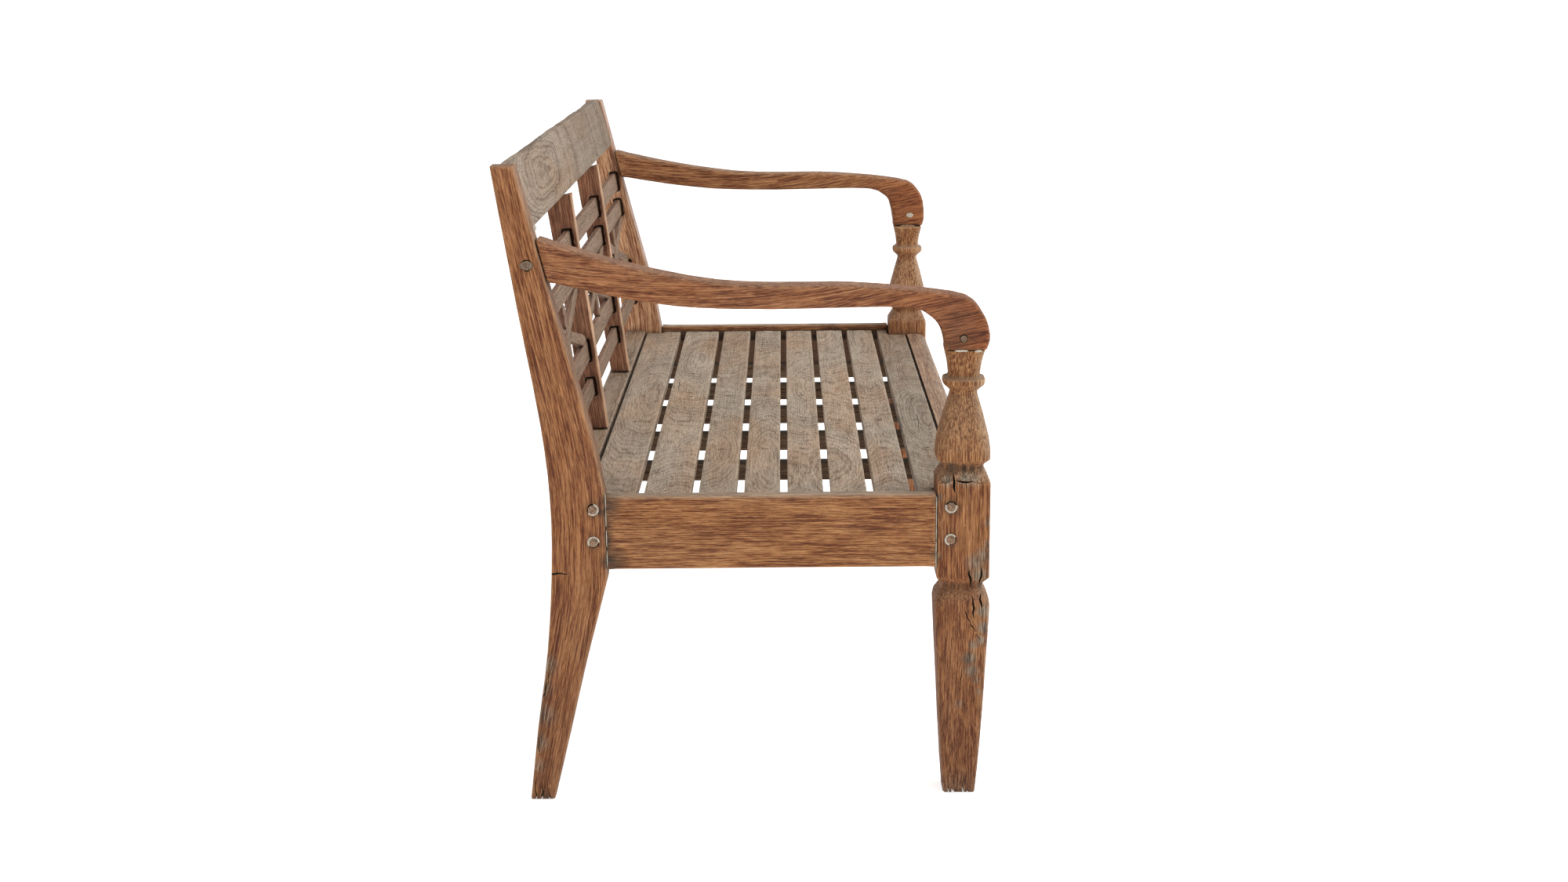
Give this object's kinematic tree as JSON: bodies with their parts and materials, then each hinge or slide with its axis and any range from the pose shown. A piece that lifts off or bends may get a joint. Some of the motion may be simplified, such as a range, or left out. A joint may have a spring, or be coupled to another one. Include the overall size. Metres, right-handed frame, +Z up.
{
  "type": "garden bench",
  "caption": "Wooden garden bench with a slatted seat, a latticed back, curved arms on carved front legs, and pegged mortise-and-tenon joints.",
  "frame": {"origin": "on the ground at the centre of the bench's bounding box", "axes": "+X along the seat towards the sitter's left, -Y to the front where a sitter faces, +Z up"},
  "size_m": [1.257, 0.6434, 0.869],
  "materials": {
    "leg": "oiled, weathered reddish-brown teak, satin",
    "rail": "oiled, weathered orange-brown teak, satin",
    "front_rail": "worn brown teak, matte",
    "arm": "hand-polished reddish-brown teak, satin",
    "slat": "silvery-tan weathered teak, matte",
    "crest": "silvery-tan weathered teak, matte",
    "muntin": "worn brown teak, matte",
    "lattice": "greyed brown teak, matte",
    "batten": "dark brown rough teak, matte",
    "peg": "dark reddish teak end grain, matte"
  },
  "bodies": {
    "root": {"back_leg_right": "leg", "front_leg_right": "leg", "side_rail_right": "rail", "arm_right": "arm", "peg_back_leg_right_1": "peg", "peg_back_leg_right_2": "peg", "peg_front_leg_right_1": "peg", "peg_front_leg_right_2": "peg", "peg_arm_rear_right": "peg", "peg_arm_front_right": "peg", "back_leg_left": "leg", "front_leg_left": "leg", "side_rail_left": "rail", "arm_left": "arm", "peg_back_leg_left_1": "peg", "peg_back_leg_left_2": "peg", "peg_front_leg_left_1": "peg", "peg_front_leg_left_2": "peg", "peg_arm_rear_left": "peg", "peg_arm_front_left": "peg", "front_rail": "front_rail", "rear_rail": "slat", "top_rail": "crest", "slat_1": "slat", "slat_2": "slat", "slat_3": "slat", "slat_4": "slat", "slat_5": "slat", "slat_6": "slat", "slat_7": "slat", "slat_8": "slat", "batten_1": "batten", "batten_2": "batten", "batten_3": "batten", "batten_4": "batten", "batten_5": "batten", "muntin_right": "muntin", "muntin_left": "muntin", "bar_right_1": "lattice", "bar_right_2": "lattice", "bar_right_3": "lattice", "bar_right_4": "lattice", "stub_right": "lattice", "brace_right_rising": "lattice", "brace_right_falling": "lattice", "bar_middle_1": "lattice", "bar_middle_2": "lattice", "bar_middle_3": "lattice", "bar_middle_4": "lattice", "stub_middle": "lattice", "brace_middle_rising": "lattice", "brace_middle_falling": "lattice", "bar_left_1": "lattice", "bar_left_2": "lattice", "bar_left_3": "lattice", "bar_left_4": "lattice", "stub_left": "lattice", "brace_left_rising": "lattice", "brace_left_falling": "lattice"}
  },
  "joints": []
}
